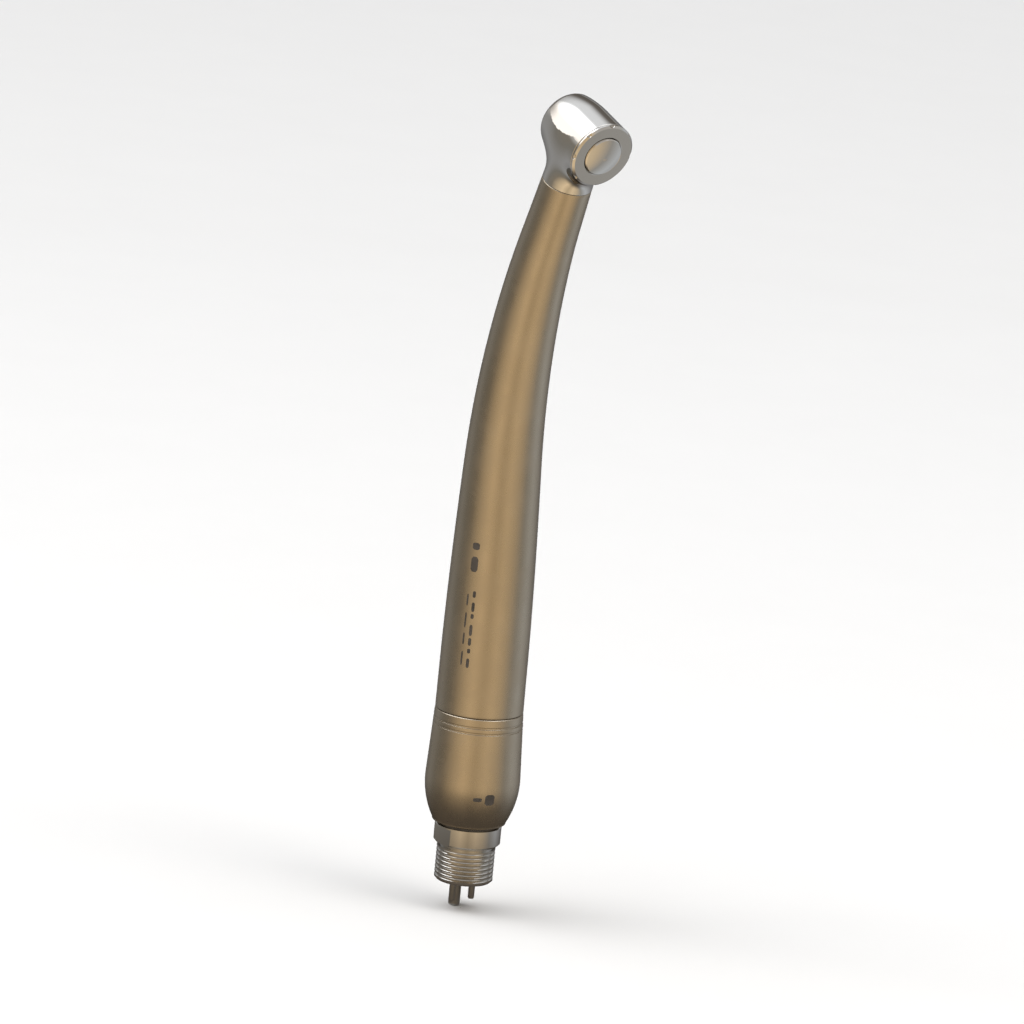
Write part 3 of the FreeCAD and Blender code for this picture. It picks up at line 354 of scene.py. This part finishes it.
for part in frame["record"]["subparts"]:
    node = frame["nodes"][part["node"]]
    for index in range(len(node.material_slots)):
        node.material_slots[index].material = SLOT_MATERIALS[part["material_slot"]]


# ---------------------------------------------------------------- handle
def shell_radius(station):
    """Outer radius of the shell: a smooth curve through its stations."""
    xs = np.array([s for s, _ in SHELL])
    ys = np.array([r for _, r in SHELL])
    slopes = np.gradient(ys, xs)
    index = np.clip(np.searchsorted(xs, station) - 1, 0, len(xs) - 2)
    width = xs[index + 1] - xs[index]
    k = np.clip((station - xs[index]) / width, 0, 1)
    return ((2 * k**3 - 3 * k**2 + 1) * ys[index] + (k**3 - 2 * k**2 + k) * width * slopes[index]
            + (3 * k**2 - 2 * k**3) * ys[index + 1] + (k**3 - k**2) * width * slopes[index + 1])


def make_handle():
    """The handle shell: one bent tapering tube with rounded ends and a thin wall."""
    around = 144
    low, high = SEAM_Z + 0.06, HEAD_STATION - NECK_JOINT - 0.03
    outer = [(low, -0.16), (low + 0.03, -0.09), (low + 0.09, -0.03), (low + 0.18, 0.0)]
    outer += [(s, 0.0) for s in np.linspace(low + 0.6, high - 0.5, 190)]
    outer += [(high - 0.14, 0.0), (high - 0.06, -0.03), (high - 0.02, -0.07), (high, -0.13)]
    inner = [(s, -SHELL_WALL) for s in np.linspace(high, low, 60)]
    rings = outer + inner
    stations = np.array([s for s, _ in rings])
    radii = shell_radius(stations) + np.array([d for _, d in rings])
    turn = np.linspace(0, 2 * math.pi, around, endpoint=False)
    points = centreline(stations[:, None], radii[:, None] * np.cos(turn), radii[:, None] * -np.sin(turn))
    made = piece("handle_skin", points.reshape(-1, 3), tube_faces(len(rings), around), "handpiece", SATIN,
                 sharp=50)
    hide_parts("handle_shell")


make_handle()


def bulge_radius(z):
    """Outer radius of the rear ring's bulge at a height."""
    return BULGE_ARC_CENTRE_R + math.sqrt(BULGE_ARC_R**2 - (z - BULGE_ARC_CENTRE_Z)**2)


def make_ring():
    """The rear ring: a bulge on one arc, then a straight taper with two grooves up to the seam."""
    profile = [(RING_BORE, RING_Z), (RING_BORE + 0.15, RING_Z, 0.2)]
    for z in np.linspace(RING_Z + 0.25, BULGE_TOP_Z, 30):
        profile.append((bulge_radius(z), z, 0))
    slope = (SEAM_R - BULGE_TOP_R) / (SEAM_Z - BULGE_TOP_Z)
    corner = 0.05
    for z in RING_GROOVES:
        r = BULGE_TOP_R + slope * (z - BULGE_TOP_Z)
        floor = r - RING_GROOVE_DEPTH
        profile += [(r, z - 0.05, corner), (floor, z + 0.03, corner), (floor, z + 0.27, corner),
                    (r, z + 0.35, corner)]
    profile += [(SEAM_R, SEAM_Z - 0.12, 0.08), (SEAM_R - 0.14, SEAM_Z, corner), (RING_BORE, SEAM_Z)]
    made = lathe("ring_skin", profile, "handpiece", SATIN, around=176, radius=0.05, sharp=40)
    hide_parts("rear_ring")


make_ring()


# ---------------------------------------------------------------- head
def round_max(a, b, size):
    """Intersection of two fields with a rounded edge."""
    return np.minimum(-size, np.maximum(a, b)) + np.hypot(np.maximum(a + size, 0), np.maximum(b + size, 0))


def smooth_min(a, b, size):
    """Union of two fields with a fillet."""
    k = np.maximum(size - np.abs(a - b), 0) / size
    return np.minimum(a, b) - k * k * size / 4


def head_field(p):
    """Distance-like field of the head housing in the head frame, in mm: negative inside."""
    x, y, z = p[..., 0], p[..., 1], p[..., 2]
    r = np.hypot(x, y)
    drop = np.clip(-z / HEAD_TAPER_LEN, 0, 2)
    side = r - (HEAD_R - HEAD_TAPER * drop**2)
    body = round_max(side, -HEAD_BOTTOM - z, HEAD_EDGE)
    along = -y
    across = np.hypot(x, z)
    neck = across - (NECK_R - NECK_TAPER * (NECK_JOINT - along))
    neck = np.maximum(neck, y)
    outer = smooth_min(body, neck, NECK_FILLET)
    outer = round_max(outer, along - NECK_JOINT, CUT_EDGE)
    outer = round_max(outer, z - HEAD_TOP, CUT_EDGE)
    port_ends = np.abs(along - PORT_MIDDLE) - PORT_HALF
    holes = [
        r - NOSE_HOLE_R,
        np.maximum(r - SEAT_R, -SEAT_Z - z),
        np.maximum(r - CHAMBER_R, -CHAMBER_Z - z),
        np.maximum(r - CAP_THREAD_R, CAP_THREAD_Z - z),
        np.maximum(np.maximum(SPRAY_IN - r, r - SPRAY_OUT), z + SPRAY_Z),
        np.maximum(across - NECK_BORE, NECK_BORE_END - along),
        np.maximum(np.hypot(x + EXHAUST_X, z - EXHAUST_V) - EXHAUST_R, port_ends),
        np.maximum(np.hypot(x - DRIVE_X, z - DRIVE_V) - DRIVE_R, port_ends),
    ]
    return np.maximum(outer, -np.minimum.reduce(holes))


def surface_nets(field, low, high, step):
    """Points and quads of a field's zero surface on a grid."""
    axes = [np.arange(a, b + step, step) for a, b in zip(low, high)]
    grid = np.stack(np.meshgrid(*axes, indexing="ij"), -1)
    value = field(grid)
    inside = value < 0
    size = [n - 1 for n in value.shape]

    def corner(array, i, j, k):
        return array[i:i + size[0], j:j + size[1], k:k + size[2]]

    corners = [(i, j, k) for i in (0, 1) for j in (0, 1) for k in (0, 1)]
    count = sum(corner(inside, *c).astype(int) for c in corners)
    cells = (count > 0) & (count < 8)
    number = -np.ones(cells.shape, int)
    number[cells] = np.arange(cells.sum())
    total = np.zeros((cells.sum(), 3))
    crossings = np.zeros(cells.sum())
    for a in corners:
        for axis in range(3):
            if a[axis]:
                continue
            b = tuple(c + (axis == n) for n, c in enumerate(a))
            va, vb = corner(value, *a)[cells], corner(value, *b)[cells]
            cut = (va < 0) != (vb < 0)
            k = np.where(cut, va / np.where(cut, va - vb, 1), 0)
            spot = np.array(a, float) + k[:, None] * np.eye(3)[axis]
            total += np.where(cut[:, None], spot, 0)
            crossings += cut
    where = np.argwhere(cells)
    points = np.array(low) + (where + total / crossings[:, None]) * step
    faces = []
    for axis in range(3):
        u, v = [n for n in range(3) if n != axis]
        first = [slice(None)] * 3
        second = [slice(None)] * 3
        first[axis], second[axis] = slice(None, -1), slice(1, None)
        cut = inside[tuple(first)] != inside[tuple(second)]
        spots = np.argwhere(cut)
        spots = spots[(spots[:, u] > 0) & (spots[:, v] > 0) & (spots[:, u] < size[u]) & (spots[:, v] < size[v])]
        start_inside = inside[tuple(first)][tuple(spots.T)]
        quad = []  # the four cells round each crossed edge
        for du, dv in ((1, 1), (0, 1), (0, 0), (1, 0)):
            cell = spots.copy()
            cell[:, u] -= du
            cell[:, v] -= dv
            quad.append(number[tuple(cell.T)])
        quad = np.stack(quad, 1)
        flip = start_inside == (axis == 1)
        quad[flip] = quad[flip][:, ::-1]
        faces.append(quad)
    return points, np.concatenate(faces)


def gradient(field, points, delta=0.004):
    """Slope of a field at each point, by central differences."""
    parts = []
    for axis in range(3):
        offset = np.eye(3)[axis] * delta
        parts.append((field(points + offset) - field(points - offset)) / (2 * delta))
    return np.stack(parts, -1)


def make_head():
    """The head housing as one smooth mesh, with its points pulled onto the field's surface."""
    points, faces = surface_nets(head_field, HEAD_GRID_LOW, HEAD_GRID_HIGH, HEAD_GRID_STEP)
    for _ in range(3):
        slope = gradient(head_field, points)
        move = head_field(points)[:, None] * slope / np.maximum((slope**2).sum(-1, keepdims=True), 0.2)
        points = points - np.clip(move, -HEAD_GRID_STEP / 2, HEAD_GRID_STEP / 2)
    slope = gradient(head_field, points)
    normals = slope / np.linalg.norm(slope, axis=1, keepdims=True)
    turned = normals[:, :1] * np.array([1.0, 0, 0]) + normals[:, 1:2] * HEAD_Y + normals[:, 2:3] * HEAD_Z
    made = piece("head_skin", from_head(points), faces.tolist(), "handpiece", CHROME,
                 normals=turned)
    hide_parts("head_housing")


make_head()


def make_spring():
    """The conical disc spring under the button, built in its resting cone shape; the real spring flattens onto its
    seat as the button goes in.
    """
    profile = [(SPRING_IN, SPRING_TOP_Z), (SPRING_OUT, SPRING_SEAT_Z),
               (SPRING_OUT, SPRING_SEAT_Z + SPRING_THICKNESS), (SPRING_IN, SPRING_TOP_Z + SPRING_THICKNESS)]
    made = lathe("spring_skin", profile, "handpiece", STEEL, around=96, radius=0.04, in_head=True)
    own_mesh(made)
    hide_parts("button_spring")


make_spring()


# ---------------------------------------------------------------- generic laser marks
def mark_patch(points, faces, station, turn, length, width, radius_at):
    """Adds a thin rounded slab that follows the surface."""
    rows, cols = 7, 5
    base = len(points)
    for level in (MARK_RISE, -MARK_SINK):
        for i in range(rows):
            for j in range(cols):
                u = (i / (rows - 1) - 0.5) * length
                v = (j / (cols - 1) - 0.5) * width
                if i in (0, rows - 1):
                    v *= 0.55
                r = radius_at(station + u) + level
                angle = turn + v / r
                points.append((station + u, r, angle))
    for i in range(rows - 1):
        for j in range(cols - 1):
            a = base + i * cols + j
            faces.append((a, a + 1, a + cols + 1, a + cols))
            b = a + rows * cols
            faces.append((b + cols, b + cols + 1, b + 1, b))
    border = [i * cols for i in range(rows)] + [(rows - 1) * cols + j for j in range(1, cols)]
    border += [i * cols + cols - 1 for i in range(rows - 2, -1, -1)] + [j for j in range(cols - 2, 0, -1)]
    for index, here in enumerate(border):
        after = border[(index + 1) % len(border)]
        faces.append((base + here, base + after, base + after + rows * cols, base + here + rows * cols))


def make_ring_mark():
    """A plain alignment dot and dash on the rear ring."""
    cells, faces = [], []
    station, turn = 16.2, math.pi + 0.94 + 0.42
    mark_patch(cells, faces, station, turn, 1.9, 1.7, bulge_radius)
    mark_patch(cells, faces, station, turn - 0.27, 0.7, 1.5, bulge_radius)
    cells = np.array(cells)
    points = np.stack([cells[:, 1] * np.cos(cells[:, 2]), cells[:, 1] * np.sin(cells[:, 2]), cells[:, 0]], -1)
    piece("ring_mark", points, faces, "handpiece", MARK, sharp=60)


make_ring_mark()


def make_handle_marks():
    """A column of plain dashes on the -X side, where such a handle carries its marking."""
    cells, faces = [], []
    side = math.pi + 0.47
    left_column = ((39.5, 1.6), (41.6, 0.8), (43.2, 1.3), (45.2, 1.9), (47.6, 0.8), (49.2, 1.6), (51.4, 1.1))
    for station, length in left_column:
        mark_patch(cells, faces, station, side + 0.10, length, 0.55, shell_radius)
    for station, length in ((40.2, 2.4), (43.6, 2.0), (46.8, 2.6), (50.3, 2.0)):
        mark_patch(cells, faces, station, side - 0.06, length, 0.32, shell_radius)
    for station, length in ((56.5, 2.6), (59.6, 1.2)):
        mark_patch(cells, faces, station, side + 0.02, length, 1.3, shell_radius)
    cells = np.array(cells)
    points = centreline(cells[:, 0], cells[:, 1] * np.cos(cells[:, 2]), cells[:, 1] * -np.sin(cells[:, 2]))
    piece("handle_marks", points, faces, "handpiece", MARK, sharp=60)


make_handle_marks()


# ---------------------------------------------------------------- floor, backdrop, light
FLOOR_Z = min(corner[2] for corner in CAD_BOX) - 0.0001


def stage_mesh(name, rings, around, material):
    """A disc or bowl of (radius, height) rings about the Z axis, in metres."""
    points = [(r * math.cos(2 * math.pi * k / around), r * math.sin(2 * math.pi * k / around), z)
              for r, z in rings for k in range(around)]
    mesh = bpy.data.meshes.new(name)
    mesh.from_pydata(points, [], tube_faces(len(rings), around, closed=False))
    mesh.shade_smooth()
    mesh.materials.append(material)
    made = bpy.data.objects.new(name, mesh)
    bpy.context.scene.collection.objects.link(made)
    return made


def make_floor():
    material, tree, shader = new_material("pale_floor", (0.82, 0.815, 0.805), 0.0, 0.6)
    shader.inputs["Specular IOR Level"].default_value = 0.2
    grain = noise(tree, 40, detail=4)
    tree.links.new(mix_color(tree, grain, (0.83, 0.825, 0.815), (0.81, 0.805, 0.795)), shader.inputs["Base Color"])
    rings = [(r, FLOOR_Z) for r in (0.0001, 0.02, 0.1, 0.4, 1.2, 3.0, 7.0)]
    stage_mesh("floor", rings, 64, material)


# What the metal mirrors at each bearing round the object: 0.5 is the side the camera stands on.
SURROUNDINGS = [
    (0.00, (0.36, 0.36, 0.36)), (0.14, (0.34, 0.34, 0.34)), (0.22, (0.20, 0.19, 0.17)), (0.29, (0.22, 0.19, 0.15)),
    (0.36, (0.52, 0.41, 0.27)), (0.44, (0.78, 0.60, 0.38)), (0.51, (0.52, 0.40, 0.25)), (0.58, (0.72, 0.56, 0.36)),
    (0.65, (0.55, 0.44, 0.30)), (0.72, (0.30, 0.29, 0.27)), (0.80, (0.48, 0.50, 0.52)), (0.90, (0.36, 0.36, 0.37)),
    (1.00, (0.36, 0.36, 0.36)),
]


def make_surroundings():
    """A low bowl that only gloss sees: the room that the metal mirrors."""
    material = bpy.data.materials.new("surroundings")
    material.use_nodes = True
    tree = material.node_tree
    tree.nodes.clear()
    coords = tree.nodes.new("ShaderNodeTexCoord")
    turn = tree.nodes.new("ShaderNodeMapping")
    turn.inputs["Rotation"].default_value = (0, 0, math.radians(90 - VIEW_AZ))
    split = tree.nodes.new("ShaderNodeSeparateXYZ")
    tree.links.new(coords.outputs["Object"], turn.inputs["Vector"])
    tree.links.new(turn.outputs["Vector"], split.inputs["Vector"])
    bearing = math_node(tree, "ARCTAN2", split.outputs["Y"], split.outputs["X"])
    colors = tree.nodes.new("ShaderNodeValToRGB")
    tree.links.new(ramp_linear(tree, bearing, -math.pi, math.pi), colors.inputs["Fac"])
    stops = colors.color_ramp.elements
    stops[0].position, stops[0].color = 0.0, (*SURROUNDINGS[0][1], 1)
    stops[1].position, stops[1].color = 1.0, (*SURROUNDINGS[-1][1], 1)
    for position, color in SURROUNDINGS[1:-1]:
        stops.new(position).color = (*color, 1)
    glow = tree.nodes.new("ShaderNodeEmission")
    out = tree.nodes.new("ShaderNodeOutputMaterial")
    reach = tree.nodes.new("ShaderNodeVectorMath")
    reach.operation = "LENGTH"
    tree.links.new(coords.outputs["Object"], reach.inputs[0])
    shadow = mix_color(tree, ramp(tree, reach.outputs["Value"], 0.015, 0.09, 0, 1), (0.10, 0.085, 0.07),
                       colors.outputs["Color"])
    rim = mix_color(tree, ramp(tree, split.outputs["Z"], 0.22, 0.36, 0, 1), shadow, (0.45, 0.44, 0.42))
    tree.links.new(rim, glow.inputs["Color"])
    tree.links.new(glow.outputs["Emission"], out.inputs["Surface"])
    bowl_z = FLOOR_Z + 0.0003
    rings = [(0.0001, bowl_z), (0.3, bowl_z), (0.58, bowl_z), (0.6, 0.02), (0.62, 0.36)]
    bowl = stage_mesh("surroundings", rings, 96, material)
    bowl.visible_camera = False
    bowl.visible_diffuse = False
    bowl.visible_shadow = False
    bowl.visible_transmission = False


def area_light(name, direction, distance, size, power, color, aim=(0, -0.005, 0.07)):
    light = bpy.data.lights.new(name, "AREA")
    light.shape = "RECTANGLE"
    light.size, light.size_y = size
    light.energy = power
    light.color = color
    made = bpy.data.objects.new(name, light)
    spot = Vector(direction).normalized() * distance
    made.location = Vector(aim) + spot
    made.rotation_mode = "QUATERNION"
    made.rotation_quaternion = (-spot).to_track_quat("-Z", "Y")
    made.visible_glossy = False
    bpy.context.scene.collection.objects.link(made)


def facing(tree, coords, direction):
    """How nearly each direction of the world points along the given one."""
    node = tree.nodes.new("ShaderNodeVectorMath")
    node.operation = "DOT_PRODUCT"
    node.inputs[1].default_value = direction
    tree.links.new(coords.outputs["Generated"], node.inputs[0])
    return node.outputs["Value"]


def make_lights():
    """A world with a soft key and fill glow for reflections, and three area lights that gloss doesn't see."""
    world = bpy.data.worlds.new("world")
    bpy.context.scene.world = world
    world.use_nodes = True
    tree = world.node_tree
    background = tree.nodes["Background"]
    coords = tree.nodes.new("ShaderNodeTexCoord")
    split = tree.nodes.new("ShaderNodeSeparateXYZ")
    tree.links.new(coords.outputs["Generated"], split.inputs["Vector"])
    behind = facing(tree, coords, camera_back(VIEW_AZ + 180, 0))
    low = mix_color(tree, ramp(tree, behind, 0.2, 0.75, 0, 1), (0.42, 0.40, 0.38), (0.17, 0.155, 0.14))
    shade = mix_color(tree, ramp(tree, split.outputs["Z"], 0.55, 0.85, 0, 1), low, (0.80, 0.82, 0.85))
    tree.links.new(shade, background.inputs["Color"])
    key = facing(tree, coords, camera_back(-122, 50))
    fill = facing(tree, coords, camera_back(35, 55))
    glow = math_node(tree, "ADD", ramp(tree, key, 0.80, 0.93, 1.0, 3.2), ramp(tree, fill, 0.90, 0.97, 0.0, 1.6))
    tree.links.new(glow, background.inputs["Strength"])
    area_light("key_light", camera_back(-125, 45), 0.9, (0.4, 0.5), 1.8, (1.0, 1.0, 1.0))
    area_light("fill_light", camera_back(25, 50), 1.0, (0.4, 0.4), 2.0, (1.0, 0.96, 0.9))
    area_light("top_light", camera_back(-20, 85), 1.2, (0.9, 0.9), 1.6, (1.0, 1.0, 1.0))


make_floor()
make_surroundings()
make_lights()
bpy.context.scene.view_settings.view_transform = "Standard"
